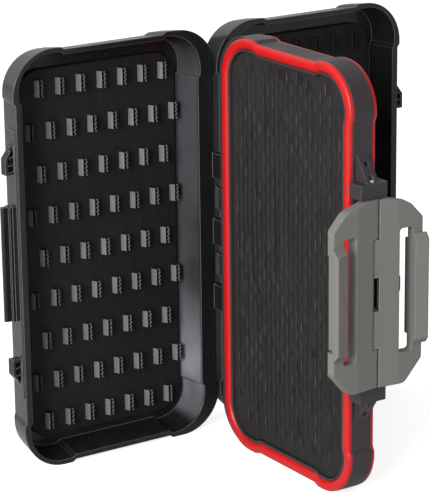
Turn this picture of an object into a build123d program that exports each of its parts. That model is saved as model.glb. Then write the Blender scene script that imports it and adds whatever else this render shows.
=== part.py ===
"""Upright jig box: a swing leaf between two hinged covers, with two catches on one pin.

Millimetres, +Z up. The box stands on its bottom bumpers, opened like a book.
The leaf points along +X, the front cover along -Y and the back cover along +Y.
The origin is under the middle of the opened box, on the surface it stands on.
"""
from build123d import *
import os
from math import cos, radians, sin, tan

os.makedirs("parts", exist_ok=True)

# Overall sizes, taken over the corner bumpers
case_height = 190.0
case_width = 102.9
corner_radius = 20.0

# Corner bumpers: the straight edges between them lie back by one step
bumper_step = 1.2
bumper_ramp = 1.6
bumper_rise = 21.5
bumper_run_spine = 32.0
bumper_run_free = 24.0
cover_run_spine = 26.0

# Spine hinge: one pin through the knuckles of the leaf and both covers
spine_gap = 0.3
spine_pin_radius = 1.0
spine_pin_inset = 0.3
barrel_radius = 2.4
barrel_clearance = 0.5
knuckle_gap = 0.3
knuckle_end = 2.4
knuckle_front_end = 11.6
knuckle_front_middle = 12.0
knuckle_back = 10.0
knuckle_leaf = 4.0
lug_depth = 3.0
lug_width = 2.1
lug_clearance = 0.35

# Leaf: a stepped band with a thin core and a foam pocket on each face
leaf_thickness = 10.0
pocket_depth = 3.5
pocket_lip = 1.1
lip_rise = 1.2
pocket_corner = 13.0

# Gasket rings, one in a groove on each face of the leaf
gasket_width = 4.4
gasket_proud = 2.1
gasket_groove = 1.5
gasket_fit = 0.05
gasket_edge_inset = 0.4
gasket_spine_inset = 7.1
gasket_crown = 1.5
gasket_lead = 0.5
gasket_ramp = 2.6
gasket_bend = 3.5
rim_to_gasket = 0.2

# Foam panels, each on an adhesive sheet
foam_thickness = 3.2
foam_fit = 0.2
sheet_thickness = 0.3
sheet_margin = 5.0

# Cover trays
cover_depth = 16.5
cover_floor = 2.0
cover_draft = 10.0
back_edge_round = 3.5
rim_ends = 2.2
rim_free = 3.0
rim_spine = 8.1
cavity_corner = 16.0

# Holder mat in each cover, moulded in one piece with its split holders
mat_side_gap = 2.2
mat_bottom_gap = 3.6
mat_top_gap = 5.6
mat_base = 1.7
mat_corner = 11.0
holder_pitch = 10.5
holder_shift = 1.0
row_pitch = 19.1
holder_margin = 0.6
holder_width = 2.8
holder_height = 7.6
holder_rise = 4.4
slit_width = 0.6
slit_swing = 0.45
slit_turns = 3
slit_depth = 3.0
slit_margin = 0.5

# Free side of each cover: catch fin, two brackets and the raised pad that carries them
fin_length = 52.0
fin_setback = 8.2
fin_thickness = 2.2
fin_reach = 4.2
fin_tip_round = 0.8
root_thickness = 4.6
root_reach = 1.0
bracket_setback = 2.2
bracket_depth = 4.0
bracket_reach = 4.8
bracket_gap = 0.8
bracket_flat = 7.0
bracket_slope = 8.4
bracket_wall = 1.3
bracket_rib_step = 3.4
bracket_rib = 0.7
pad_half_height = 60.5
pad_thickness = 0.8
pad_setback = 1.4
pad_depth = 11.0

# Ears on the free edge of the leaf, each braced by a gusset
ear_reach = 8.4
ear_width = 13.8
ear_height = 6.5
ear_round = 0.6
gusset_width = 5.9
gusset_height = 11.0
gusset_setback = 0.9
core_hole_width = 1.8
core_hole_depth = 2.5
core_hole_height = 7.1

# Catches: two mirrored plates on one pin, each with a slot and a raised grip bar
catch_pin_radius = 1.2
catch_pin_reach = 6.4
catch_pin_head = 1.2
catch_half_height = 41.0
catch_end_gap = 0.25
knuckle_radius = 3.4
knuckle_relief = 0.5
knuckle_split = 24.0
knuckle_split_gap = 0.3
window_half_height = 7.4
plate_thickness = 4.8
plate_flat = 11.0
plate_reach = 23.8
plate_drop = 1.5
tip_thickness = 4.0
tip_round = 1.2
corner_run = 9.2
corner_rise = 10.4
corner_round = 4.0
shoulder_run = 18.8
shoulder_knee = 7.3
shoulder_drop = 2.7
slot_near = 11.7
slot_far = 18.4
slot_half_height = 27.3
slot_corner = 1.6
bar_half_height = 21.0
bar_reach = 24.8
bar_root_lift = 1.6
bar_tip_lift = 2.4
bar_thickness = 3.6
bar_round = 0.9
bar_ramp = 3.2
bar_foot = 0.8
hook_width = 2.2
hook_drop = 4.0
rest_opening = 8.0

# Radial fit of both pins in the parts that turn on them
pin_fit = 0.05

# Places that follow from the sizes above, measured from the spine pin
mid_height = case_height / 2
half_leaf = leaf_thickness / 2
rim_offset = half_leaf + gasket_proud + rim_to_gasket
edge_near = spine_gap
edge_far = spine_gap + case_width
band_far = edge_far - bumper_step
wall_near = edge_near + bumper_step
leaf_near = barrel_radius + barrel_clearance
recess_run = (bumper_run_spine, edge_far - bumper_run_free)
recess_rise = (bumper_rise, case_height - bumper_rise)
slope = tan(radians(cover_draft))
catch_x = band_far + catch_pin_reach
ear_low = catch_half_height + catch_end_gap
ear_high = ear_low + ear_height

# The origin lies halfway between the cover backs and the raised grip bars
rest = radians(rest_opening)
bar_tip = knuckle_radius + bar_tip_lift
reach_front = catch_x + (bar_reach - bar_round) * sin(rest) + (bar_tip - bar_round) * cos(rest) + bar_round
reach_back = rim_offset + cover_depth
spine_x = (reach_back - reach_front) / 2

# Working planes: x runs from the spine to the free edge and y runs up
leaf_plane = Plane(origin=(spine_x, 0, 0), x_dir=(1, 0, 0), z_dir=(0, -1, 0))
rim_plane = Plane(origin=(spine_x - rim_offset, 0, 0), x_dir=(0, -1, 0), z_dir=(-1, 0, 0))
plan = Plane(origin=(spine_x, 0, 0), x_dir=(1, 0, 0), z_dir=(0, 0, 1))


# Stepped outlines, shared by the leaf, the gaskets, the pockets and the covers
def recess_corners(first, last, edge, inward, level, ramp=bumper_ramp):
    """Corner points of one recess between two bumpers, on a level or an upright edge."""
    outside = edge - inward * bumper_step
    inside = edge + inward * bumper_step
    points = [
        (first, outside),
        (first, edge),
        (first + ramp, inside),
        (last - ramp, inside),
        (last, edge),
        (last, outside),
    ]
    return points if level else [(v, u) for u, v in points]


def recesses(near, far, low, high, spine_side):
    """The recesses of one cover outline, each with the direction in which its wall leans."""
    run = (cover_run_spine, recess_run[1])
    found = [
        (recess_corners(*run, high, -1, True), (0, -1)),
        (recess_corners(*run, low, 1, True), (0, 1)),
        (recess_corners(*recess_rise, far, -1, False), (-1, 0)),
    ]
    if spine_side:
        found.append((recess_corners(*recess_rise, near, 1, False), (1, 0)))
    return found


def stepped_panel(near, far, low, high, radius, lead=0, ramp=bumper_ramp, bend=0):
    """A rounded panel whose top, bottom and free edges lie back between the bumpers."""
    run = (recess_run[0] - lead, recess_run[1] + lead)
    rise = (recess_rise[0] - lead, recess_rise[1] + lead)
    bottom = recess_corners(*run, low, 1, True, ramp)[1:5]
    side = recess_corners(*rise, far, -1, False, ramp)[1:5]
    top = recess_corners(*run, high, -1, True, ramp)[4:0:-1]
    steps = [bend, bend, bend, bend]
    with BuildSketch(Plane.XY) as panel:
        with BuildLine():
            FilletPolyline(
                *[(near, low), *bottom, (far, low), *side, (far, high), *top, (near, high)],
                radius=[radius, *steps, radius, *steps, radius, *steps, radius],
                close=True,
            )
        make_face()
    return panel.sketch


def drafted_block(depth, near, far, low, high, radius, edge_round):
    """A drafted block behind the rim, stepped like the case edge, its back edge rounded."""
    with BuildPart() as block:
        with BuildSketch(rim_plane):
            with Locations(((near + far) / 2, (low + high) / 2)):
                RectangleRounded(far - near, high - low, radius)
        extrude(amount=depth, taper=cover_draft)
        if edge_round:
            fillet(block.faces().sort_by(Axis.X)[0].edges(), edge_round)
        for points, lean in recesses(near, far, low, high, spine_side=True):
            with BuildSketch(rim_plane):
                with BuildLine():
                    Polyline(*points, close=True)
                make_face()
            sideways = rim_plane.x_dir * lean[0] + rim_plane.y_dir * lean[1]
            wall = rim_plane.z_dir + sideways * slope
            extrude(amount=2 * depth, dir=wall, mode=Mode.SUBTRACT)
    return block.part


# Spine knuckles, listed from the top down
def knuckle_rows():
    """The owner, bottom and top of every knuckle on the spine pin."""
    order = [
        ("leaf", knuckle_end),
        ("front", knuckle_front_end),
        ("leaf", knuckle_leaf),
        ("back", knuckle_back),
        ("leaf", knuckle_leaf),
        ("front", knuckle_front_middle),
        ("leaf", knuckle_leaf),
        ("back", knuckle_back),
        ("leaf", knuckle_leaf),
        ("front", knuckle_front_end),
        ("leaf", knuckle_end),
    ]
    length = sum(size for _, size in order) + knuckle_gap * (len(order) - 1)
    top = mid_height + length / 2
    rows = []
    for owner, size in order:
        rows.append((owner, top - size, top))
        top -= size + knuckle_gap
    return rows


rows = knuckle_rows()
barrel_top = rows[0][2]
barrel_bottom = rows[-1][1]

# Gasket outlines: the ring follows the bumper steps at one width
ring_outer = (
    gasket_spine_inset,
    edge_far - gasket_edge_inset,
    gasket_edge_inset,
    case_height - gasket_edge_inset,
)
ring_inner = (
    ring_outer[0] + gasket_width,
    ring_outer[1] - gasket_width,
    ring_outer[2] + gasket_width,
    ring_outer[3] - gasket_width,
)
ring_corner = corner_radius - gasket_edge_inset


def grown(box, amount):
    """An outline box made wider on every side."""
    return (box[0] - amount, box[1] + amount, box[2] - amount, box[3] + amount)


def soft_panel(box, radius):
    """A stepped panel with the soft bends of the gasket."""
    return stepped_panel(*box, radius, gasket_lead, gasket_ramp, gasket_bend)


def gasket_ring(amount):
    """The ring between the two gasket outlines, wider on each side by the amount."""
    outer = soft_panel(grown(ring_outer, amount), ring_corner + amount)
    inner = soft_panel(grown(ring_inner, -amount), ring_corner - gasket_width - amount)
    with BuildSketch(Plane.XY) as ring:
        add(outer)
        add(inner, mode=Mode.SUBTRACT)
    return ring.sketch


pocket_box = grown(ring_inner, -pocket_lip)
groove_ring = gasket_ring(gasket_fit)
leaf_outline = stepped_panel(leaf_near, edge_far, 0, case_height, corner_radius)
lip_outline = soft_panel(
    grown(ring_inner, -gasket_fit), ring_corner - gasket_width - gasket_fit
)
pocket_outline = soft_panel(pocket_box, pocket_corner)

# Leaf frame with grooves, pockets, spine knuckles and the two ears
with BuildPart() as leaf_frame:
    with BuildSketch(leaf_plane):
        add(leaf_outline)
    extrude(amount=half_leaf, both=True)
    for owner, bottom, top in rows:
        if owner == "leaf":
            with BuildSketch(plan.offset(bottom)):
                Circle(barrel_radius)
                with Locations((leaf_near / 2 + barrel_clearance, 0)):
                    Rectangle(leaf_near + 2 * barrel_clearance, 2 * barrel_radius)
            extrude(amount=top - bottom)
    for end in (1, -1):
        ear_base = mid_height + end * ear_low
        ear_top = mid_height + end * ear_high
        with BuildSketch(plan.offset(ear_base)) as ear:
            with Locations((band_far + ear_reach / 2, 0)):
                Rectangle(ear_reach, ear_width)
            fillet(ear.vertices(), ear_round)
            with Locations((band_far, 0)):
                Rectangle(ear_reach / 2, leaf_thickness)
        extrude(amount=end * ear_height)
        with BuildSketch(leaf_plane):
            with BuildLine():
                Polyline(
                    (band_far - bumper_step, ear_top - end * ear_round),
                    (band_far + ear_reach - gusset_setback, ear_top - end * ear_round),
                    (band_far + ear_reach - gusset_setback, ear_top),
                    (band_far, ear_top + end * gusset_height),
                    (band_far - bumper_step, ear_top + end * gusset_height),
                    close=True,
                )
            make_face()
        extrude(amount=gusset_width / 2, both=True)
        hole_height = ear_top + end * core_hole_height
        hole_start = band_far + ear_reach * (1 - core_hole_height / gusset_height)
        with BuildSketch(Plane(origin=(spine_x + hole_start, 0, hole_height), z_dir=(-1, 0, 0))):
            Rectangle(core_hole_width, core_hole_width)
        extrude(amount=core_hole_depth, both=True, mode=Mode.SUBTRACT)
    for face in (1, -1):
        with BuildSketch(leaf_plane.offset(face * half_leaf)):
            add(lip_outline)
        extrude(amount=face * lip_rise)
        with BuildSketch(leaf_plane.offset(face * half_leaf)):
            add(groove_ring)
        extrude(amount=-face * gasket_groove, mode=Mode.SUBTRACT)
        with BuildSketch(leaf_plane.offset(face * (half_leaf + lip_rise))):
            add(pocket_outline)
        extrude(amount=-face * (pocket_depth + lip_rise), mode=Mode.SUBTRACT)
    with BuildSketch(plan.offset(mid_height)):
        with Locations((catch_x, 0)):
            Circle(catch_pin_radius + pin_fit)
    extrude(amount=ear_high + gusset_height, both=True, mode=Mode.SUBTRACT)
    with BuildSketch(plan.offset(barrel_bottom)):
        Circle(spine_pin_radius + pin_fit)
    extrude(amount=barrel_top - barrel_bottom, mode=Mode.SUBTRACT)
leaf_frame.part.label = "leaf_frame"
export_step(leaf_frame.part, "parts/leaf_frame.step")


# Gaskets, foam panels and adhesive sheets, one of each on both faces of the leaf
ring_outline = gasket_ring(0)
foam_outline = soft_panel(grown(pocket_box, -foam_fit), pocket_corner - foam_fit)


def sheet_outline(near, far, low, high):
    """A plain adhesive sheet, inset from the outline that it lies in."""
    with BuildSketch(Plane.XY) as sheet:
        with Locations(((near + far) / 2, (low + high) / 2)):
            Rectangle(far - near - 2 * sheet_margin, high - low - 2 * sheet_margin)
    return sheet.sketch


def gasket(face):
    """A rubber ring with a crowned top, seated in its groove."""
    with BuildPart() as ring:
        with BuildSketch(leaf_plane.offset(face * (half_leaf - gasket_groove))):
            add(ring_outline)
        extrude(amount=face * (gasket_groove + gasket_proud))
        crown = ring.faces().filter_by(Plane.XZ).sort_by(Axis.Y)[0 if face > 0 else -1]
        chamfer(crown.edges(), gasket_crown)
    return ring.part


def pocket_layer(face, outline, start, thickness):
    """A flat layer in a foam pocket, from its start above the pocket floor."""
    floor = half_leaf - pocket_depth
    with BuildPart() as layer:
        with BuildSketch(leaf_plane.offset(face * (floor + start))):
            add(outline)
        extrude(amount=face * thickness)
    return layer.part


for side, face in (("front", 1), ("back", -1)):
    with BuildPart() as gasket_part:
        add(gasket(face))
    gasket_part.part.label = side + "_gasket"
    export_step(gasket_part.part, "parts/" + side + "_gasket.step")

    with BuildPart() as leaf_sheet:
        add(pocket_layer(face, sheet_outline(*pocket_box), 0, sheet_thickness))
    leaf_sheet.part.label = side + "_leaf_adhesive"
    export_step(leaf_sheet.part, "parts/" + side + "_leaf_adhesive.step")

    with BuildPart() as leaf_foam:
        add(pocket_layer(face, foam_outline, sheet_thickness, foam_thickness))
    leaf_foam.part.label = side + "_leaf_foam"
    export_step(leaf_foam.part, "parts/" + side + "_leaf_foam.step")


# Spine pin and catch pin
with BuildPart() as spine_pin:
    with BuildSketch(plan.offset(barrel_bottom + spine_pin_inset)):
        Circle(spine_pin_radius)
    extrude(amount=barrel_top - barrel_bottom - 2 * spine_pin_inset)
spine_pin.part.label = "spine_pin"
export_step(spine_pin.part, "parts/spine_pin.step")

with BuildPart() as catch_pin:
    with BuildSketch(plan.offset(mid_height - ear_high)):
        with Locations((catch_x, 0)):
            Circle(catch_pin_radius)
    extrude(amount=2 * ear_high + catch_pin_head)
catch_pin.part.label = "catch_pin"
export_step(catch_pin.part, "parts/catch_pin.step")


# Cover trays: drafted, stepped, with knuckle lugs, a catch fin and two hollow brackets
def bracket_outline(end, inset, root):
    """The side view of a bracket: flat toward the catch, sloping away from it."""
    low = ear_low + bracket_gap - catch_end_gap
    tip = band_far + bracket_reach - inset
    flat = low + bracket_flat
    points = [
        (root, low + inset),
        (tip, low + inset),
        (tip, flat - inset / 2),
        (root, flat + bracket_slope - inset),
    ]
    return [(u, mid_height + end * v) for u, v in points]


def cover_tray(owner):
    """One cover as the front one lies, opened square to the leaf."""
    outer = drafted_block(
        cover_depth, edge_near, edge_far, 0, case_height, corner_radius, back_edge_round
    )
    cavity = drafted_block(
        cover_depth - cover_floor,
        edge_near + rim_spine,
        edge_far - rim_free,
        rim_ends,
        case_height - rim_ends,
        cavity_corner,
        0,
    )
    free_wall = band_far - rim_free / 2
    with BuildPart() as tray:
        add(outer)
        with BuildSketch(rim_plane.offset(pad_setback)):
            pad_face = band_far - slope * pad_setback + pad_thickness
            with Locations(((free_wall + pad_face) / 2, mid_height)):
                Rectangle(pad_face - free_wall, 2 * pad_half_height)
        pad_wall = rim_plane.z_dir - rim_plane.x_dir * slope
        extrude(amount=pad_depth / cos(radians(cover_draft)), dir=pad_wall)
        root_setback = fin_setback - (root_thickness - fin_thickness) / 2
        for start, size, reach in (
            (fin_setback, fin_thickness, fin_reach),
            (root_setback, root_thickness, root_reach),
        ):
            with BuildSketch(rim_plane.offset(start)):
                fin_root = free_wall - slope * start
                with Locations(((fin_root + band_far + reach) / 2, mid_height)):
                    Rectangle(band_far + reach - fin_root, fin_length)
            extrude(amount=size)
        fin_tip = tray.faces().sort_by(Axis.Y)[0]
        fillet(fin_tip.edges().filter_by(Axis.Z), fin_tip_round)
        for end in (1, -1):
            with BuildSketch(rim_plane.offset(bracket_setback)):
                with BuildLine():
                    Polyline(*bracket_outline(end, 0, free_wall), close=True)
                make_face()
            extrude(amount=bracket_depth)
        add(cavity, mode=Mode.SUBTRACT)
        for end in (1, -1):
            pocket_root = band_far + pad_thickness
            with BuildSketch(rim_plane.offset(bracket_setback)):
                with BuildLine():
                    Polyline(*bracket_outline(end, bracket_wall, pocket_root), close=True)
                make_face()
                for step in (1, 2):
                    rib = ear_low + bracket_wall + step * bracket_rib_step
                    with Locations((pocket_root, mid_height + end * rib)):
                        Rectangle(bracket_reach, bracket_rib, mode=Mode.SUBTRACT)
            extrude(amount=bracket_depth - bracket_wall, mode=Mode.SUBTRACT)
        for knuckle_owner, bottom, top in rows:
            if knuckle_owner == owner:
                with BuildSketch(plan.offset(bottom)):
                    Circle(barrel_radius)
                    with Locations(
                        (-rim_offset - lug_depth / 2, -lug_clearance - lug_width / 2)
                    ):
                        Rectangle(lug_depth, lug_width)
                    make_hull()
                extrude(amount=top - bottom)
        with BuildSketch(plan.offset(barrel_bottom)):
            Circle(spine_pin_radius + pin_fit)
        extrude(amount=barrel_top - barrel_bottom, mode=Mode.SUBTRACT)
    return tray.part


with BuildPart() as front_cover_shell:
    add(cover_tray("front"))
front_cover_shell.part.label = "front_cover_shell"
export_step(front_cover_shell.part, "parts/front_cover_shell.step")

with BuildPart() as back_cover_shell:
    mirror(cover_tray("back"), about=Plane.XZ)
back_cover_shell.part.label = "back_cover_shell"
export_step(back_cover_shell.part, "parts/back_cover_shell.step")


# Holder mats: staggered rows of blocks, each split by a waved slit
mat_back = cover_depth - cover_floor - sheet_thickness
mat_front = mat_back - mat_base
mat_box = (
    wall_near + rim_spine + slope * mat_back + mat_side_gap,
    band_far - rim_free - slope * mat_back - mat_side_gap,
    bumper_step + rim_ends + slope * mat_back + mat_bottom_gap,
    case_height - bumper_step - rim_ends - slope * mat_back - mat_top_gap,
)
mat_centre = ((mat_box[0] + mat_box[1]) / 2, (mat_box[2] + mat_box[3]) / 2)
holder_centre = (mat_centre[0] - holder_shift, mat_centre[1])
mat_width = mat_box[1] - mat_box[0]
mat_height = mat_box[3] - mat_box[2]
columns = int((mat_width - holder_width - 2 * (holder_margin + holder_shift)) / holder_pitch)
rows_above = int((mat_height - holder_height - 2 * holder_margin) / 2 / row_pitch)
holder_groups = (
    (columns, 2 * (rows_above // 2) + 1),
    (columns + 1, 2 * ((rows_above + 1) // 2)),
)


def waved_slit():
    """The waved slit of one holder, as a closed zigzag band."""
    half = holder_height / 2 - slit_margin
    step = 2 * half / slit_turns
    side = 1
    left = []
    right = []
    for turn in range(slit_turns + 1):
        left.append((side * slit_swing - slit_width / 2, step * turn - half))
        right.append((side * slit_swing + slit_width / 2, step * turn - half))
        side = -side
    with BuildSketch(Plane.XY) as band:
        with BuildLine():
            Polyline(*left, *reversed(right), close=True)
        make_face()
    return band.sketch


def holder_mat():
    """One mat as it lies in the front cover."""
    slit = waved_slit()
    with BuildPart() as mat:
        with BuildSketch(rim_plane.offset(mat_front)):
            with Locations(mat_centre):
                RectangleRounded(mat_width, mat_height, mat_corner)
        extrude(amount=mat_base)
        for count, lines in holder_groups:
            with BuildSketch(rim_plane.offset(mat_front)):
                with Locations(holder_centre):
                    with GridLocations(holder_pitch, 2 * row_pitch, count, lines):
                        Rectangle(holder_width, holder_height)
            extrude(amount=-holder_rise)
            with BuildSketch(rim_plane.offset(mat_front - holder_rise)):
                with Locations(holder_centre):
                    with GridLocations(holder_pitch, 2 * row_pitch, count, lines):
                        add(slit)
            extrude(amount=slit_depth, mode=Mode.SUBTRACT)
    return mat.part


def mat_sheet():
    """The adhesive sheet between a mat and its cover."""
    with BuildPart() as sheet:
        with BuildSketch(rim_plane.offset(mat_back)):
            add(sheet_outline(*mat_box))
        extrude(amount=sheet_thickness)
    return sheet.part


with BuildPart() as front_holder_mat:
    add(holder_mat())
front_holder_mat.part.label = "front_holder_mat"
export_step(front_holder_mat.part, "parts/front_holder_mat.step")

with BuildPart() as back_holder_mat:
    mirror(front_holder_mat.part, about=Plane.XZ)
back_holder_mat.part.label = "back_holder_mat"
export_step(back_holder_mat.part, "parts/back_holder_mat.step")

with BuildPart() as front_mat_adhesive:
    add(mat_sheet())
front_mat_adhesive.part.label = "front_mat_adhesive"
export_step(front_mat_adhesive.part, "parts/front_mat_adhesive.step")

with BuildPart() as back_mat_adhesive:
    mirror(front_mat_adhesive.part, about=Plane.XZ)
back_mat_adhesive.part.label = "back_mat_adhesive"
export_step(back_mat_adhesive.part, "parts/back_mat_adhesive.step")


# Catches: x runs out from the pin along the plate and y stands off its outer face
along = Vector(sin(rest), -cos(rest), 0)
outward = Vector(cos(rest), sin(rest), 0)
catch_origin = Vector(spine_x + catch_x, 0, mid_height)
section_plane = Plane(origin=catch_origin, x_dir=along, z_dir=(0, 0, 1))
face_plane = Plane(origin=catch_origin, x_dir=along, z_dir=outward * -1)
end_plane = Plane(origin=catch_origin, x_dir=(0, 0, -1), z_dir=along)
catch_zones = {
    "front": (knuckle_split + knuckle_split_gap / 2, catch_half_height),
    "back": (window_half_height, knuckle_split - knuckle_split_gap / 2),
}


# Grip bar of a catch: a raised bar with the hook behind it and a ramp at each end
with BuildPart() as grip_bar_block:
    with BuildSketch(section_plane) as bar:
        with BuildLine():
            Polyline(
                (slot_far, -hook_drop),
                (slot_far, knuckle_radius + bar_root_lift),
                (bar_reach, bar_tip),
                (bar_reach, bar_tip - bar_thickness),
                (slot_far + hook_width, bar_tip - bar_thickness),
                (slot_far + hook_width, -hook_drop),
                close=True,
            )
        make_face()
        fillet(bar.vertices().sort_by(Axis.X)[-2:], bar_round)
    extrude(amount=bar_half_height + bar_ramp, both=True)
    with BuildSketch(end_plane):
        with BuildLine():
            level = bar_tip - bar_thickness
            far_end = bar_half_height + bar_ramp
            Polyline(
                (-bar_half_height, -hook_drop),
                (-bar_half_height, level),
                (-far_end, level),
                (-far_end, level + bar_foot),
                (-bar_half_height, bar_tip),
                (bar_half_height, bar_tip),
                (far_end, level + bar_foot),
                (far_end, level),
                (bar_half_height, level),
                (bar_half_height, -hook_drop),
                close=True,
            )
        make_face()
    extrude(amount=bar_reach, mode=Mode.INTERSECT)
grip_bar = grip_bar_block.part


def catch_plate(owner):
    """One catch as the front one stands, swung out from its latched place by the rest opening."""
    plate_outer = knuckle_radius
    plate_inner = knuckle_radius - plate_thickness
    tip_outer = plate_outer - plate_drop
    with BuildPart() as plate:
        with BuildSketch(section_plane) as section:
            with BuildLine():
                Polyline(
                    (0, plate_outer),
                    (plate_flat, plate_outer),
                    (plate_reach, tip_outer),
                    (plate_reach, tip_outer - tip_thickness),
                    (plate_flat, plate_inner),
                    (0, plate_inner),
                    close=True,
                )
            make_face()
            fillet(section.vertices().sort_by(Axis.X)[-2:], tip_round)
        extrude(amount=catch_half_height, both=True)
        with BuildSketch(face_plane):
            half = catch_half_height
            with BuildLine():
                FilletPolyline(
                    (-knuckle_radius, half),
                    (plate_reach - shoulder_run, half),
                    (plate_reach - shoulder_knee, half - shoulder_drop),
                    (plate_reach, half - corner_rise),
                    (plate_reach, corner_rise - half),
                    (plate_reach - corner_run, -half),
                    (-knuckle_radius, -half),
                    radius=[0, *[2 * corner_round] * 2, *[corner_round] * 3, 0],
                    close=True,
                )
            make_face()
        extrude(amount=bar_reach, both=True, mode=Mode.INTERSECT)
        with BuildSketch(face_plane):
            with Locations(((slot_near + slot_far) / 2, 0)):
                RectangleRounded(slot_far - slot_near, 2 * slot_half_height, slot_corner)
            with Locations(((slot_far + bar_reach) / 2, 0)):
                Rectangle(bar_reach - slot_far, 2 * bar_half_height)
        extrude(amount=bar_reach, both=True, mode=Mode.SUBTRACT)
        add(grip_bar)
        for zone_owner, (low, high) in catch_zones.items():
            mine = zone_owner == owner
            radius = knuckle_radius if mine else knuckle_radius + knuckle_relief
            spare = 0 if mine else knuckle_split_gap
            for end in (1, -1):
                with BuildSketch(section_plane.offset(end * (low - spare))):
                    Circle(radius)
                amount = end * (high - low + 2 * spare)
                extrude(amount=amount, mode=Mode.ADD if mine else Mode.SUBTRACT)
        with BuildSketch(section_plane):
            Circle(knuckle_radius + knuckle_relief)
        extrude(amount=window_half_height, both=True, mode=Mode.SUBTRACT)
        with BuildSketch(section_plane):
            Circle(catch_pin_radius + pin_fit)
        extrude(amount=catch_half_height, both=True, mode=Mode.SUBTRACT)
    return plate.part


with BuildPart() as front_catch:
    add(catch_plate("front"))
front_catch.part.label = "front_catch"
export_step(front_catch.part, "parts/front_catch.step")

with BuildPart() as back_catch:
    mirror(catch_plate("back"), about=Plane.XZ)
back_catch.part.label = "back_catch"
export_step(back_catch.part, "parts/back_catch.step")
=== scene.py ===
import math
import random

import bmesh
import bpy
from mathutils import Matrix, Vector


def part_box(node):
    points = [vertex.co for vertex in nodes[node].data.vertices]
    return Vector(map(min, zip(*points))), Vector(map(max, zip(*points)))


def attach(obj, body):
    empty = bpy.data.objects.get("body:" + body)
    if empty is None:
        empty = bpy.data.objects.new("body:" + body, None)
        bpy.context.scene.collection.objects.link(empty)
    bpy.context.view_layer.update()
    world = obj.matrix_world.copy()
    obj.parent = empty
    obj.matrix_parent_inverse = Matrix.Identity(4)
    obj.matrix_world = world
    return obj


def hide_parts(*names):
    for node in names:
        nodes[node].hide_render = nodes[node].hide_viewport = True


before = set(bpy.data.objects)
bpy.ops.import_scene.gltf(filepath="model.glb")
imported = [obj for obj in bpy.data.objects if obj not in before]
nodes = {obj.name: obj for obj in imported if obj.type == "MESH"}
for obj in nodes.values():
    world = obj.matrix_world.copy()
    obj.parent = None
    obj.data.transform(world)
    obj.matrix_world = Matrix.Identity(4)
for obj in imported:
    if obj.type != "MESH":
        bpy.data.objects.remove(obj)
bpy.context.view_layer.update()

# Leaf frame: one satin black moulding that carries the foam, the gaskets and both hinge lines.
# Its pocket walls, ears and gussets are part of the same shot, with a fine eroded grain.

mm = 0.001


def set_value(node, socket, value):
    """Sets one input of a shader node by its name."""
    node.inputs[socket].default_value = value


def plug(tree, source, socket):
    """Feeds a shader input from another node's output, or with a number or a colour."""
    if isinstance(source, bpy.types.NodeSocket):
        tree.links.new(source, socket)
    elif isinstance(source, tuple):
        socket.default_value = (*source, 1)
    else:
        socket.default_value = source


def object_place(tree):
    """The piece's own coordinates."""
    return tree.nodes.new("ShaderNodeTexCoord").outputs["Object"]


def noise(tree, place, scale, detail, roughness=0.5, distortion=0.0):
    """A noise pattern over the given coordinates."""
    pattern = tree.nodes.new("ShaderNodeTexNoise")
    tree.links.new(place, pattern.inputs["Vector"])
    plug(tree, scale, pattern.inputs["Scale"])
    set_value(pattern, "Detail", detail)
    set_value(pattern, "Roughness", roughness)
    set_value(pattern, "Distortion", distortion)
    return pattern.outputs["Fac"]


def ranged(tree, value, low=0.0, high=1.0, to_low=0.0, to_high=1.0, curve="LINEAR"):
    """A value moved from one range of levels to another, and held at the ends."""
    span = tree.nodes.new("ShaderNodeMapRange")
    span.interpolation_type = curve
    set_value(span, "From Min", low)
    set_value(span, "From Max", high)
    set_value(span, "To Min", to_low)
    set_value(span, "To Max", to_high)
    tree.links.new(value, span.inputs["Value"])
    return span.outputs["Result"]


def product(tree, first, second):
    """Two values multiplied."""
    times = tree.nodes.new("ShaderNodeMath")
    times.operation = "MULTIPLY"
    plug(tree, first, times.inputs[0])
    plug(tree, second, times.inputs[1])
    return times.outputs["Value"]


def mixed(tree, factor, first, second, blend="MIX"):
    """Two colours mixed by a factor."""
    mix = tree.nodes.new("ShaderNodeMix")
    mix.data_type = "RGBA"
    mix.blend_type = blend
    plug(tree, factor, mix.inputs["Factor"])
    plug(tree, first, mix.inputs["A"])
    plug(tree, second, mix.inputs["B"])
    return mix.outputs["Result"]


def rounded_edges(tree, radius):
    """The surface's normal with its sharp edges rounded over."""
    bevel = tree.nodes.new("ShaderNodeBevel")
    bevel.samples = 6
    plug(tree, radius, bevel.inputs["Radius"])
    return bevel.outputs["Normal"]


def bumped(tree, height, strength, distance):
    """A bump node that follows a height pattern."""
    bump = tree.nodes.new("ShaderNodeBump")
    set_value(bump, "Strength", strength)
    set_value(bump, "Distance", distance)
    tree.links.new(height, bump.inputs["Height"])
    return bump


def surface_group(name, givens, results):
    """A new node group with the named inputs and outputs, all plain values."""
    group = bpy.data.node_groups.new(name, "ShaderNodeTree")
    for given, start in givens:
        socket = group.interface.new_socket(
            given, in_out="INPUT", socket_type="NodeSocketFloat"
        )
        socket.default_value = start
    for result in results:
        group.interface.new_socket(result, in_out="OUTPUT", socket_type="NodeSocketFloat")
    return group


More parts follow.
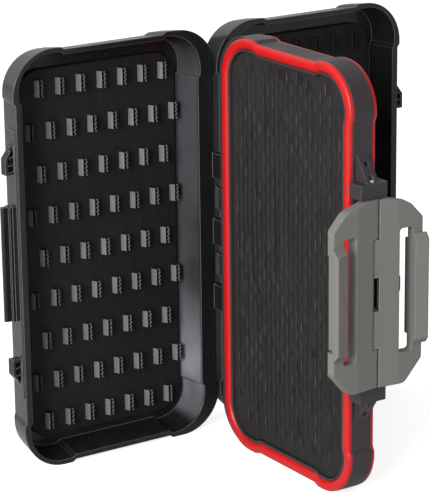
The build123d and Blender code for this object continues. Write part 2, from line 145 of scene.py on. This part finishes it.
def moulding_wear_and_edge_highlight():
    """Shared surface of the moulded pieces: eroded grain, soft smears, dust, and an edge mask for
    the rounded edges, which are rubbed and also carry a painted highlight.
    """
    group = surface_group(
        "moulding_wear_and_edge_highlight",
        (
            ("Grain Scale", 2600.0),
            ("Smear Scale", 45.0),
            ("Dust", 0.12),
            ("Edge Radius", 0.4 * mm),
        ),
        ("Grain", "Smear", "Dust", "Edge"),
    )
    link = group.links.new
    given = group.nodes.new("NodeGroupInput").outputs
    result = group.nodes.new("NodeGroupOutput").inputs
    place = object_place(group)
    link(noise(group, place, given["Grain Scale"], detail=3.0), result["Grain"])
    link(noise(group, place, given["Smear Scale"], detail=4.0, roughness=0.6), result["Smear"])
    speck = ranged(group, noise(group, place, scale=900.0, detail=1.0), low=0.70, high=0.78)
    link(product(group, speck, given["Dust"]), result["Dust"])
    flat = group.nodes.new("ShaderNodeNewGeometry").outputs["Normal"]
    alike = group.nodes.new("ShaderNodeVectorMath")
    alike.operation = "DOT_PRODUCT"
    link(rounded_edges(group, given["Edge Radius"]), alike.inputs[0])
    link(flat, alike.inputs[1])
    link(ranged(group, alike.outputs["Value"], low=0.99, high=0.78), result["Edge"])
    return group


def placed(tree, group, **values):
    """The outputs of a shared surface placed in a material, with some inputs set."""
    node = tree.nodes.new("ShaderNodeGroup")
    node.node_tree = group
    for name, value in values.items():
        set_value(node, name.replace("_", " ").title(), value)
    return node.outputs


def new_material(name):
    """A new material with its node tree and its Principled shader."""
    material = bpy.data.materials.new(name)
    material.use_nodes = True
    return material, material.node_tree, material.node_tree.nodes["Principled BSDF"]


wear_and_edge_highlight = moulding_wear_and_edge_highlight()
house_dust = (0.22, 0.21, 0.20)
smear_span = (0.35, 0.65)


def moulded_plastic(name, colour, rubbed_edge_highlight_colour, gloss, grain, edge_radius, specular):
    """A moulded plastic: colour, the colour of its rounded edges (rubbed, with a painted
    highlight), low and high roughness, and grain.
    """
    material, tree, skin = new_material(name)
    set_value(skin, "IOR", 1.5)
    set_value(skin, "Specular IOR Level", specular)
    grain_scale, grain_strength = grain
    surface = placed(tree, wear_and_edge_highlight, grain_scale=grain_scale, edge_radius=edge_radius)
    # Rounded edges take a paler colour: rubbed wear, and a painted highlight along the rims.
    edged = mixed(tree, surface["Edge"], colour, rubbed_edge_highlight_colour)
    dusty = mixed(tree, surface["Dust"], edged, house_dust)
    tree.links.new(dusty, skin.inputs["Base Color"])
    smeared = ranged(tree, surface["Smear"], *smear_span, *gloss)
    tree.links.new(smeared, skin.inputs["Roughness"])
    bump = bumped(tree, surface["Grain"], grain_strength, distance=0.1 * mm)
    tree.links.new(rounded_edges(tree, edge_radius), bump.inputs["Normal"])
    tree.links.new(bump.outputs["Normal"], skin.inputs["Normal"])
    return material


def dress(node, material):
    """Puts one material on every face of a node."""
    mesh = nodes[node].data
    mesh.materials.clear()
    mesh.materials.append(material)


leaf_plastic = moulded_plastic(
    "leaf_satin_black",
    colour=(0.033, 0.0275, 0.0305),
    rubbed_edge_highlight_colour=(0.075, 0.073, 0.072),
    gloss=(0.34, 0.50),
    grain=(2600.0, 0.25),
    edge_radius=0.4 * mm,
    specular=0.35,
)
dress("leaf_frame", leaf_plastic)

# Gaskets: a red rubber ring pressed into the groove on each face of the leaf.
# The top of the ring is a soft half round that swells over the groove's outer edge,
# and it bends gently past the bumper steps.

spine_x = (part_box("spine_pin")[0].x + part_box("spine_pin")[1].x) / 2
leaf_half = 5.0 * mm
case_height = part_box("leaf_frame")[1].z
facet_turn = 0.08
soft_edge = math.radians(32)


def filleted(corners, radii):
    """Points along a closed outline whose corners are rounded by the given radii."""
    points = []
    count = len(corners)
    for index, radius in enumerate(radii):
        here = Vector(corners[index])
        before = (Vector(corners[index - 1]) - here).normalized()
        after = (Vector(corners[(index + 1) % count]) - here).normalized()
        opening = before.angle(after)
        reach = radius / math.tan(opening / 2)
        centre = here + (before + after).normalized() * radius / math.sin(opening / 2)
        first = here + before * reach - centre
        last = here + after * reach - centre
        sweep = math.pi - opening
        parts = max(4, math.ceil(sweep / facet_turn))
        for part in range(parts + 1):
            share = part / parts
            blend = (
                first * math.sin((1 - share) * sweep) + last * math.sin(share * sweep)
            ) / math.sin(sweep)
            points.append(centre + blend)
    return points


def soft_outline(near, far, low, high, radius):
    """The outline of the leaf face: recessed between the bumpers, with soft bends."""
    drop, lead, ramp, bend = 1.2 * mm, 0.5 * mm, 2.6 * mm, 3.5 * mm
    run = (32.0 * mm - lead, 79.2 * mm + lead)
    rise = (21.5 * mm - lead, 168.5 * mm + lead)

    def recess(first, last, edge, inward, level):
        inside = edge + inward * drop
        spots = [(first, edge), (first + ramp, inside), (last - ramp, inside), (last, edge)]
        return spots if level else [(v, u) for u, v in spots]

    corners = [(near, low), *recess(*run, low, 1, True), (far, low)]
    corners += [*recess(*rise, far, -1, False), (far, high)]
    corners += [*recess(*run, high, -1, True)[::-1], (near, high)]
    steps = [bend] * 4
    return filleted(corners, [radius, *steps, radius, *steps, radius, *steps, radius])


def finished(name, mesh, materials=(), smooth=soft_edge):
    """Turns a bmesh into a linked object with soft shading up to an angle."""
    data = bpy.data.meshes.new(name)
    mesh.to_mesh(data)
    mesh.free()
    piece = bpy.data.objects.new(name, data)
    bpy.context.scene.collection.objects.link(piece)
    for material in materials:
        data.materials.append(material)
    data.shade_smooth()
    data.set_sharp_from_angle(angle=smooth)
    return piece


def swept_ring(name, inner, outer, profile, place, material):
    """A closed ring between two outlines: profile points are (share across, height)."""
    mesh = bmesh.new()
    rings = []
    for near, far in zip(inner, outer):
        rings.append([mesh.verts.new(place(near.lerp(far, n), p)) for n, p in profile])
    for index in range(len(rings)):
        one, two = rings[index - 1], rings[index]
        for k in range(len(profile)):
            mesh.faces.new((one[k - 1], one[k], two[k], two[k - 1]))
    bmesh.ops.recalc_face_normals(mesh, faces=mesh.faces)
    return finished(name, mesh, (material,))


def on_leaf(face):
    """Places (u, v) and a height over the leaf face in the frame: face 1 front, -1 back."""
    return lambda uv, p: Vector((spine_x + uv.x, -face * (leaf_half + p), uv.y))


red_rubber, red_tree, red_skin = new_material("gasket_red_rubber")
red_colours = (0.42, 0.0070, 0.0080), (0.53, 0.0110, 0.0115)
red_dust = (0.55, 0.16, 0.16)
set_value(red_skin, "IOR", 1.5)
set_value(red_skin, "Specular IOR Level", 0.3)
set_value(red_skin, "Coat Weight", 0.12)
set_value(red_skin, "Coat Roughness", 0.22)
red_surface = placed(red_tree, wear_and_edge_highlight, grain_scale=3600.0, smear_scale=160.0)
red_tone = mixed(red_tree, red_surface["Smear"], *red_colours)
red_tree.links.new(
    mixed(red_tree, red_surface["Dust"], red_tone, red_dust), red_skin.inputs["Base Color"]
)
red_tree.links.new(
    ranged(red_tree, red_surface["Smear"], to_low=0.30, to_high=0.46),
    red_skin.inputs["Roughness"],
)
red_bump = bumped(red_tree, red_surface["Grain"], strength=0.15, distance=0.1 * mm)
red_tree.links.new(red_bump.outputs["Normal"], red_skin.inputs["Normal"])

gasket_width = 4.4 * mm
gasket_proud = 2.1 * mm
gasket_seat = 1.5 * mm
gasket_side = 0.2 * mm
gasket_lip = 0.05 * mm
gasket_overhang = 0.07
gasket_inner_round = 15.2 * mm
gasket_outer_round = 19.6 * mm
inner_fullness = 0.85
outer_fullness = 0.36
bead_facets = 14
gasket_profile = [(0.0, -gasket_seat)]
for turn in range(bead_facets + 1):
    angle = math.pi * turn / bead_facets
    if turn < bead_facets // 2:
        fullness, reach = inner_fullness, 0.5
    else:
        fullness, reach = outer_fullness, 0.5 + gasket_overhang
    height = gasket_side + (gasket_proud - gasket_side) * math.sin(angle) ** fullness
    gasket_profile.append((0.5 - reach * math.cos(angle), height))
gasket_profile.append((1.0, gasket_lip))
gasket_profile.append((1.0, -gasket_seat))


def ring_line(inset, radius):
    """The gasket outline, moved inwards from its outer edge."""
    low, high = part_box("front_gasket")
    return soft_outline(
        low.x - spine_x + inset, high.x - spine_x - inset, low.z + inset, high.z - inset, radius
    )


for side, face in (("front", 1), ("back", -1)):
    inner = ring_line(gasket_width, gasket_inner_round)
    outer = ring_line(0.0, gasket_outer_round)
    ring = swept_ring(
        side + "_gasket_ring", inner, outer, gasket_profile, on_leaf(face), red_rubber
    )
    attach(ring, "leaf")
    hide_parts(side + "_gasket")

# Adhesive sheets: thin pale double-sided tape under each foam panel and each mat.
# They only show as a hairline at the edges, with the fibres of the carrier.

tape, tape_tree, tape_skin = new_material("adhesive_tape")
tape_colours = (0.30, 0.28, 0.24), (0.46, 0.44, 0.40)
tape_fibre = noise(
    tape_tree, object_place(tape_tree), scale=700.0, detail=4.0, distortion=1.5
)
tape_tree.links.new(mixed(tape_tree, tape_fibre, *tape_colours), tape_skin.inputs["Base Color"])
tape_tree.links.new(
    ranged(tape_tree, tape_fibre, to_low=0.45, to_high=0.75), tape_skin.inputs["Roughness"]
)
for holder in ("leaf", "mat"):
    for side in ("front", "back"):
        dress(f"{side}_{holder}_adhesive", tape)

# Foam panels: one sheet of charcoal foam in each pocket of the leaf, die cut with rows
# of short staggered slits. The slits gape a little, so their cut walls catch the light.


def stretched_place(tree, scale):
    """The piece's own coordinates, scaled differently along each axis."""
    stretch = tree.nodes.new("ShaderNodeMapping")
    set_value(stretch, "Scale", scale)
    tree.links.new(object_place(tree), stretch.inputs["Vector"])
    return stretch.outputs["Vector"]


def open_cell():
    """Shared surface of the foams: fine cells, upright skiving streaks and soft patches."""
    group = surface_group("open_cell", (), ("Cell", "Streak", "Patch"))
    link = group.links.new
    result = group.nodes.new("NodeGroupOutput").inputs
    place = object_place(group)
    cell = group.nodes.new("ShaderNodeTexVoronoi")
    set_value(cell, "Scale", 2200.0)
    link(place, cell.inputs["Vector"])
    link(cell.outputs["Distance"], result["Cell"])
    upright = stretched_place(group, (1100.0, 1100.0, 110.0))
    link(noise(group, upright, scale=1.0, detail=3.0, roughness=0.65), result["Streak"])
    link(noise(group, place, scale=38.0, detail=3.0), result["Patch"])
    return group


cells = open_cell()
patch_shade = 0.35


def foam_skin(name, dark, light, rough, specular, bump_strength):
    """A foam or soft rubber: two tones mixed by its streaks and patches, and cell bump."""
    material, tree, skin = new_material(name)
    set_value(skin, "Specular IOR Level", specular)
    surface = placed(tree, cells)
    streaked = ranged(tree, surface["Streak"], low=0.36, high=0.66)
    tone = mixed(tree, streaked, dark, light)
    shaded = mixed(tree, patch_shade, tone, surface["Patch"], blend="MULTIPLY")
    tree.links.new(shaded, skin.inputs["Base Color"])
    low, high = rough
    patchy = ranged(tree, surface["Patch"], to_low=low, to_high=high)
    tree.links.new(patchy, skin.inputs["Roughness"])
    bump = bumped(tree, surface["Cell"], bump_strength, distance=0.2 * mm)
    tree.links.new(bump.outputs["Normal"], skin.inputs["Normal"])
    return material


foam_face = foam_skin(
    "foam_charcoal",
    dark=(0.0200, 0.0175, 0.0177),
    light=(0.0300, 0.0268, 0.0268),
    rough=(0.85, 0.95),
    specular=0.15,
    bump_strength=0.6,
)
foam_cut = foam_skin(
    "foam_cut_wall",
    dark=(0.095, 0.091, 0.089),
    light=(0.155, 0.150, 0.146),
    rough=(0.85, 0.95),
    specular=0.15,
    bump_strength=0.4,
)

foam_low, foam_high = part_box("front_leaf_foam")
foam_back = -foam_high.y
foam_front = -foam_low.y
foam_corner = 12.8 * mm
foam_round = 0.7 * mm
round_facets = 4
slit_length = 6.2 * mm
slit_gape = (0.08 * mm, 0.36 * mm)
slit_depth = 1.5 * mm
slit_columns = 23
slit_rows = 19
slit_stagger = 0.5
slit_side_margin = 4.0 * mm
slit_end_margin = 8.0 * mm
slit_scatter_mm = 0.4
slit_belly = 1.2
slit_keel = 0.36
slit_facets = 8
plain_corner = 9.0 * mm
cutter_rise = 0.3 * mm


def round_levels(base, top, radius):
    """Insets and levels of a slab whose top edge is rounded."""
    levels = [(0.0, base), (0.0, top - radius)]
    for turn in range(1, round_facets + 1):
        angle = math.pi / 2 * turn / round_facets
        levels.append((radius * (1 - math.cos(angle)), top - radius * (1 - math.sin(angle))))
    return levels


def add_slab(mesh, line, middle, half, levels, place):
    """A closed slab: one loop of the outline for every inset and level, and two ends."""
    loops = []
    for inset, level in levels:
        shrink = Vector((1 - inset / half.x, 1 - inset / half.y))
        flat = [middle + (point - middle) * shrink for point in line]
        loops.append([mesh.verts.new(place(point, level)) for point in flat])
    for one, two in zip(loops, loops[1:]):
        for k in range(len(line)):
            mesh.faces.new((one[k - 1], one[k], two[k], two[k - 1]))
    mesh.faces.new(loops[0])
    mesh.faces.new(loops[-1])


def foam_slab():
    """The foam panel of the front face before its slits are cut, with a rounded front edge."""
    mesh = bmesh.new()
    line = soft_outline(
        foam_low.x - spine_x, foam_high.x - spine_x, foam_low.z, foam_high.z, foam_corner
    )
    middle = Vector(((foam_low.x + foam_high.x) / 2 - spine_x, case_height / 2))
    half = Vector(((foam_high.x - foam_low.x) / 2, (foam_high.z - foam_low.z) / 2))
    levels = round_levels(foam_back, foam_front, foam_round)
    add_slab(
        mesh, line, middle, half, levels, lambda flat, depth: (spine_x + flat.x, -depth, flat.y)
    )
    bmesh.ops.recalc_face_normals(mesh, faces=mesh.faces)
    return finished("front_foam_panel", mesh, (foam_face, foam_cut))


def add_cutter(mesh, x, z, gape):
    """One thin boat-shaped wedge: an eight-sided deck over a short keel."""
    deck = []
    for turn in range(slit_facets):
        angle = 2 * math.pi * turn / slit_facets
        wide = gape / 2 * math.sin(angle) * slit_belly
        along = z + slit_length / 2 * math.cos(angle)
        deck.append(mesh.verts.new((x + wide, -(foam_front + cutter_rise), along)))
    keel = [
        mesh.verts.new((x, -(foam_front - slit_depth), z + slit_length * share))
        for share in (slit_keel, -slit_keel)
    ]
    mesh.faces.new(deck)
    keel_ends = ((0,), (0,), (1, 0), (1,), (1,), (0, 1), (0,), (0,))
    for turn, ends in enumerate(keel_ends):
        rim = (deck[turn], deck[(turn + 1) % slit_facets])
        mesh.faces.new((*rim, *(keel[end] for end in ends)))


def slit_cutters():
    """The wedges of all slits, in staggered columns that leave the corners plain."""
    mesh = bmesh.new()
    pitch_x = (foam_high.x - foam_low.x - 2 * slit_side_margin) / (slit_columns - 1)
    pitch_z = (foam_high.z - foam_low.z - 2 * slit_end_margin) / (slit_rows - slit_stagger)
    chance = random.Random(7)
    for column in range(slit_columns):
        for row in range(slit_rows):
            x = foam_low.x + slit_side_margin + column * pitch_x
            step = row + slit_stagger / 2 + slit_stagger * (column % 2)
            z = foam_low.z + slit_end_margin + step * pitch_z
            from_side = min(x - foam_low.x, foam_high.x - x)
            from_end = min(z - foam_low.z, foam_high.z - z)
            if from_side < plain_corner and from_end < 2 * plain_corner:
                continue
            narrow, wide = slit_gape
            gape = narrow + (wide - narrow) * chance.random() ** 2
            z += chance.uniform(-slit_scatter_mm, slit_scatter_mm) * mm
            add_cutter(mesh, x, z, gape)
    bmesh.ops.triangulate(mesh, faces=mesh.faces)
    bmesh.ops.recalc_face_normals(mesh, faces=mesh.faces)
    return finished("slit_cutters", mesh, (foam_cut,))


def applied(piece):
    """Gives a piece the mesh that its modifiers make, and removes them."""
    graph = bpy.context.evaluated_depsgraph_get()
    data = bpy.data.meshes.new_from_object(piece.evaluated_get(graph), depsgraph=graph)
    piece.modifiers.clear()
    piece.data = data


def mirrored(piece, name):
    """A copy of a front piece, mirrored across the leaf for the back."""
    twin = bpy.data.objects.new(name, piece.data.copy())
    twin.data.transform(Matrix.Scale(-1, 4, (0, 1, 0)))
    twin.data.flip_normals()
    bpy.context.scene.collection.objects.link(twin)
    return twin


front_foam = foam_slab()
cutters = slit_cutters()
cut = front_foam.modifiers.new("slits", "BOOLEAN")
cut.operation = "DIFFERENCE"
cut.solver = "EXACT"
cut.material_mode = "TRANSFER"
cut.object = cutters
applied(front_foam)
bpy.data.objects.remove(cutters)
back_foam = mirrored(front_foam, "back_foam_panel")
for side, panel in (("front", front_foam), ("back", back_foam)):
    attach(panel, "leaf")
    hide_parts(side + "_leaf_foam")

# Spine pin and catch pin: drawn steel rods pressed through the knuckles.
# Only their ends show, with fine drawing marks along the rod.

rod_steel, rod_tree, rod_skin = new_material("rod_steel")
rod_colours = (0.42, 0.42, 0.43), (0.58, 0.58, 0.58)
set_value(rod_skin, "Metallic", 1.0)
rod_marks = noise(
    rod_tree, stretched_place(rod_tree, (3000.0, 3000.0, 60.0)), scale=1.0, detail=3.0
)
rod_tree.links.new(
    ranged(rod_tree, rod_marks, to_low=0.22, to_high=0.42), rod_skin.inputs["Roughness"]
)
rod_tree.links.new(mixed(rod_tree, rod_marks, *rod_colours), rod_skin.inputs["Base Color"])
dress("spine_pin", rod_steel)
dress("catch_pin", rod_steel)

# Cover shells: two glossy black trays with drafted walls, bumpers at the corners,
# a catch fin between two hollow brackets, and knuckle lugs on the spine side.

shell_specular = 0.40
# The shell's pale edge colour is mostly a painted highlight along its rims, with some rubbed wear.
shell_plastic = moulded_plastic(
    "shell_gloss_black",
    colour=(0.0095, 0.0093, 0.0103),
    rubbed_edge_highlight_colour=(0.15, 0.15, 0.15),
    gloss=(0.18, 0.30),
    grain=(1500.0, 0.06),
    edge_radius=0.6 * mm,
    specular=shell_specular,
)
shell_tree = shell_plastic.node_tree
shell_skin = shell_tree.nodes["Principled BSDF"]
shell_place = object_place(shell_tree)


def axes(vector):
    """The X, Y and Z of a vector of the shell's material."""
    split = shell_tree.nodes.new("ShaderNodeSeparateXYZ")
    shell_tree.links.new(vector, split.inputs["Vector"])
    return split.outputs


def soft_step(value, low, high, to_low=0.0, to_high=1.0):
    """A value of the shell's material taken softly from one level to another."""
    return ranged(shell_tree, value, low, high, to_low, to_high, "SMOOTHSTEP")


def all_of(first, *masks):
    """Masks of the shell's material, multiplied."""
    for mask in masks:
        first = product(shell_tree, first, mask)
    return first


# Painted light: the front cover's inner wall beside the spine is painted with a pale bluish sheen,
# most of all near the bottom, standing in for the light it catches.
where = axes(shell_place)
facing = axes(shell_tree.nodes.new("ShaderNodeTexCoord").outputs["Normal"])
mottle = noise(shell_tree, shell_place, scale=26.0, detail=2.0)
painted_sheen_colour = (0.230, 0.233, 0.255)
facing_inwards = (-0.45, -0.85)
near_spine = (-19.0 * mm, -12.5 * mm)
front_of_spine = (-0.5 * mm, -2.0 * mm)
below_rim = (-53.5 * mm, -56.0 * mm)
mottle_span = (0.35, 0.65, 0.35, 1.1)
upward_fade = (12.0 * mm, 80.0 * mm, 0.95, 0.17)
painted_sheen_share = all_of(
    soft_step(facing["Y"], *facing_inwards),
    soft_step(where["Y"], *near_spine),
    soft_step(where["X"], *below_rim),
    soft_step(where["Y"], *front_of_spine),
    soft_step(mottle, *mottle_span),
    soft_step(where["Z"], *upward_fade),
)
shell_colour = shell_skin.inputs["Base Color"].links[0].from_socket
# The painted sheen is mixed into the shell's colour here.
colour_with_painted_sheen = mixed(shell_tree, painted_sheen_share, shell_colour, painted_sheen_colour)
shell_tree.links.new(colour_with_painted_sheen, shell_skin.inputs["Base Color"])

# Painted shade: where the covers meet beside the spine, the reflection on their walls and rims is
# turned down to stand in for the shade of the narrow gap.
shade_specular_level = 0.04
seam_front = (-3.0 * mm, -2.2 * mm)
seam_back = (8.0 * mm, 5.5 * mm)
painted_seam_shade = all_of(soft_step(where["Y"], *seam_front), soft_step(where["Y"], *seam_back))
shell_tree.links.new(
    soft_step(painted_seam_shade, 0.0, 1.0, shell_specular, shade_specular_level),
    shell_skin.inputs["Specular IOR Level"],
)
dress("front_cover_shell", shell_plastic)
dress("back_cover_shell", shell_plastic)

# Holder mats: one soft rubber moulding in each cover, glued to its floor.
# Staggered rows of small ramped blocks stand on it, each split by a waved slit.

mat_rubber = foam_skin(
    "mat_black_rubber",
    dark=(0.0115, 0.0103, 0.0108),
    light=(0.0175, 0.0158, 0.0165),
    rough=(0.55, 0.75),
    specular=0.2,
    bump_strength=0.12,
)
# Painted light: the holders' flanks that face the key get a paler copy of the mat rubber, standing
# in for the light on them.
holder_flank_painted_light = foam_skin(
    "holder_flank_rubber_painted_light",
    dark=(0.120, 0.119, 0.121),
    light=(0.165, 0.164, 0.168),
    rough=(0.40, 0.55),
    specular=0.4,
    bump_strength=0.10,
)
# Painted highlight: the chamfer along each slit's waved lip gets a paler copy of the rubber,
# standing in for the light it catches.
holder_lip_painted_highlight = foam_skin(
    "holder_lip_rubber_painted_highlight",
    dark=(0.080, 0.079, 0.080),
    light=(0.115, 0.114, 0.115),
    rough=(0.45, 0.60),
    specular=0.4,
    bump_strength=0.12,
)

mat_low, mat_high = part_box("front_holder_mat")
mat_top = mat_low.x + 1.7 * mm
mat_round = 0.5 * mm
mat_corner = 11.0 * mm
holder_pitch = 10.5 * mm
row_pitch = 19.1 * mm
holder_shift = 1.0 * mm
holder_half = 3.8 * mm
holder_rows = ((7, 5), (8, 4))
wave_count = 4
wave_swing = 0.30 * mm
wave_facets = 8
holder_edge = math.radians(40)
painted_light_flank_tone = 1
painted_highlight_lip_tone = 2

# The points of a holder's section: across and height in mm, whether the point follows the wave,
# and the tone of the strip that ends there.
# The flank and the waved chamfer take the paler tones of painted light.
holder_section = (
    (-1.45, -0.30, False, 0),
    (-1.40, 0.35, False, 0),
    (-0.10, 2.75, False, painted_light_flank_tone),
    (0.00, 2.80, False, 0),
    (0.08, 2.70, False, 0),
    (0.14, 0.80, False, 0),
    (1.14, 0.80, True, 0),
    (1.18, 2.45, True, 0),
    (1.54, 2.85, True, painted_highlight_lip_tone),
    (2.00, 2.85, False, 0),
    (2.10, 2.75, False, 0),
    (2.12, -0.30, False, 0),
)


def add_holder(mesh, y, z):
    """One ramped block: flank painted as lit, lip, waved slit, chamfer with a painted highlight,
    and strip, with closed ends.
    """
    samples = wave_count * wave_facets
    loops = []
    for sample in range(samples + 1):
        share = sample / samples
        height = z + holder_half * (2 * share - 1)
        wave = wave_swing * math.sin(2 * math.pi * wave_count * share)
        loop = []
        for across, level, waved, _ in holder_section:
            shift = across * mm + (wave if waved else 0.0)
            loop.append(mesh.verts.new((mat_top + level * mm, y + shift, height)))
        loops.append(loop)
    for one, two in zip(loops, loops[1:]):
        for k in range(1, len(one)):
            face = mesh.faces.new((one[k - 1], one[k], two[k], two[k - 1]))
            face.material_index = holder_section[k][-1]
        mesh.faces.new((one[-1], one[0], two[0], two[-1]))
    mesh.faces.new(loops[0])
    mesh.faces.new(loops[-1])


def mat_mesh():
    """The mat of the front cover: rounded slab and holders, in the frame."""
    mesh = bmesh.new()
    low, high = mat_low, mat_high
    corners = [(low.y, low.z), (high.y, low.z), (high.y, high.z), (low.y, high.z)]
    line = filleted(corners, [mat_corner] * 4)
    middle = Vector(((low.y + high.y) / 2, (low.z + high.z) / 2))
    half = Vector(((high.y - low.y) / 2, (high.z - low.z) / 2))
    levels = round_levels(low.x, mat_top, mat_round)
    add_slab(mesh, line, middle, half, levels, lambda flat, level: (level, flat.x, flat.y))
    middle.x += holder_shift
    for columns, rows in holder_rows:
        for column in range(columns):
            for row in range(rows):
                y = middle.x + (column - (columns - 1) / 2) * holder_pitch
                z = middle.y + (row - (rows - 1) / 2) * 2 * row_pitch
                add_holder(mesh, y, z)
    bmesh.ops.recalc_face_normals(mesh, faces=mesh.faces)
    return mesh


front_mat = finished(
    "front_holder_mat_rubber", mat_mesh(), (mat_rubber, holder_flank_painted_light, holder_lip_painted_highlight), holder_edge
)
back_mat = mirrored(front_mat, "back_holder_mat_rubber")
for side, mat in (("front", front_mat), ("back", back_mat)):
    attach(mat, side + "_cover")
    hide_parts(side + "_holder_mat")

# Catches: two mirrored plates of warm grey satin plastic on one pin, each with a slot
# and a raised bar that hooks over the fin of its cover.

catch_plastic = moulded_plastic(
    "catch_warm_grey",
    colour=(0.150, 0.145, 0.134),
    rubbed_edge_highlight_colour=(0.22, 0.215, 0.20),
    gloss=(0.42, 0.55),
    grain=(3200.0, 0.3),
    edge_radius=0.5 * mm,
    specular=0.4,
)
dress("front_catch", catch_plastic)
dress("back_catch", catch_plastic)

# Light: one broad soft source from the upper left, a weak one from the right, and a pale
# surround that is brightest at the upper left, as in a small studio with white paper.

floor_reach = 6.0
floor_corners = [
    (x * floor_reach, y * floor_reach, 0) for x, y in ((-1, -1), (1, -1), (1, 1), (-1, 1))
]
floor_mesh = bpy.data.meshes.new("floor")
floor_mesh.from_pydata(floor_corners, [], [(0, 1, 2, 3)])
floor = bpy.data.objects.new("floor", floor_mesh)
bpy.context.scene.collection.objects.link(floor)

white = (1.0, 1.0, 1.0)
paper_colour = (0.56, 0.56, 0.56)
paper_lift = 0.76
glossy_share = 0.12
paper = bpy.data.materials.new("floor_paper")
paper.use_nodes = True
paper_tree = paper.node_tree
paper_tree.nodes.clear()
paper_out = paper_tree.nodes.new("ShaderNodeOutputMaterial")
paper_skin = paper_tree.nodes.new("ShaderNodeBsdfDiffuse")
plug(paper_tree, paper_colour, paper_skin.inputs["Color"])
paper_path = paper_tree.nodes.new("ShaderNodeLightPath")
paper_seen = paper_tree.nodes.new("ShaderNodeMath")
paper_seen.operation = "MAXIMUM"
paper_tree.links.new(paper_path.outputs["Is Camera Ray"], paper_seen.inputs[0])
paper_tree.links.new(
    product(paper_tree, paper_path.outputs["Is Glossy Ray"], glossy_share), paper_seen.inputs[1]
)
paper_glow = paper_tree.nodes.new("ShaderNodeEmission")
plug(paper_tree, white, paper_glow.inputs["Color"])
paper_tree.links.new(
    product(paper_tree, paper_seen.outputs["Value"], paper_lift), paper_glow.inputs["Strength"]
)
paper_sum = paper_tree.nodes.new("ShaderNodeAddShader")
paper_tree.links.new(paper_skin.outputs["BSDF"], paper_sum.inputs[0])
paper_tree.links.new(paper_glow.outputs["Emission"], paper_sum.inputs[1])
paper_tree.links.new(paper_sum.outputs["Shader"], paper_out.inputs["Surface"])
floor_mesh.materials.append(paper)

world = bpy.data.worlds.new("studio")
bpy.context.scene.world = world
world.use_nodes = True
sky = world.node_tree
sky.nodes.clear()
bright_side = (-0.52, -0.46, 0.72)
sky_side = sky.nodes.new("ShaderNodeVectorMath")
sky_side.operation = "DOT_PRODUCT"
sky_side.inputs[1].default_value = bright_side
sky.links.new(sky.nodes.new("ShaderNodeTexCoord").outputs["Generated"], sky_side.inputs[0])
sky_level = ranged(
    sky, sky_side.outputs["Value"], -0.6, 0.9, to_low=0.10, to_high=0.85, curve="SMOOTHSTEP"
)


def backdrop(strength):
    """A white background of the given strength."""
    light = sky.nodes.new("ShaderNodeBackground")
    plug(sky, white, light.inputs["Color"])
    plug(sky, strength, light.inputs["Strength"])
    return light.outputs["Background"]


sky_mix = sky.nodes.new("ShaderNodeMixShader")
sky_path = sky.nodes.new("ShaderNodeLightPath")
sky.links.new(sky_path.outputs["Is Camera Ray"], sky_mix.inputs["Fac"])
sky.links.new(backdrop(sky_level), sky_mix.inputs[1])
sky.links.new(backdrop(1.0), sky_mix.inputs[2])
sky_out = sky.nodes.new("ShaderNodeOutputWorld")
sky.links.new(sky_mix.outputs["Shader"], sky_out.inputs["Surface"])


def softbox(name, place, aim, size, power):
    """A rectangular soft light at a place, turned towards a point."""
    lamp = bpy.data.lights.new(name, "AREA")
    lamp.shape = "RECTANGLE"
    lamp.size, lamp.size_y = size
    lamp.energy = power
    box = bpy.data.objects.new(name, lamp)
    box.location = place
    box.rotation_euler = (Vector(aim) - Vector(place)).to_track_quat("-Z", "Y").to_euler()
    bpy.context.scene.collection.objects.link(box)


softbox("key_left", place=(0.72, -1.45, 0.62), aim=(0.0, -0.02, 0.09), size=(0.9, 0.9), power=36.0)
softbox("fill_right", place=(1.5, 0.35, 0.75), aim=(0.0, 0.0, 0.09), size=(0.9, 0.9), power=1.5)

# Camera: a long lens on the side of the catches, a little above the box.
# It looks across the front face of the leaf into the open front cover.

view_azimuth = math.radians(56.774)
view_down = math.radians(16.759)
view_roll = math.radians(-0.720)
focal_pixels = 2433.8
frame_height = 500
sensor = 36.0
eye_place = (spine_x + 0.881446, -0.583861, 0.405781)
lens = bpy.data.cameras.new("camera")
lens.sensor_fit = "VERTICAL"
lens.sensor_height = sensor
lens.sensor_width = sensor
lens.lens = sensor * focal_pixels / frame_height
lens.clip_start = 0.05
lens.clip_end = 30.0
eye = bpy.data.objects.new("camera", lens)
bpy.context.scene.collection.objects.link(eye)
forward = Vector(
    (
        -math.sin(view_azimuth) * math.cos(view_down),
        math.cos(view_azimuth) * math.cos(view_down),
        -math.sin(view_down),
    )
)
level = forward.cross(Vector((0, 0, 1))).normalized()
upright = level.cross(forward)
eye_right = math.cos(view_roll) * level + math.sin(view_roll) * upright
eye_up = -math.sin(view_roll) * level + math.cos(view_roll) * upright
eye_turn = Matrix((eye_right, eye_up, -forward)).transposed().to_4x4()
eye.matrix_world = Matrix.Translation(eye_place) @ eye_turn
bpy.context.scene.camera = eye
bpy.context.scene.view_settings.view_transform = "Standard"
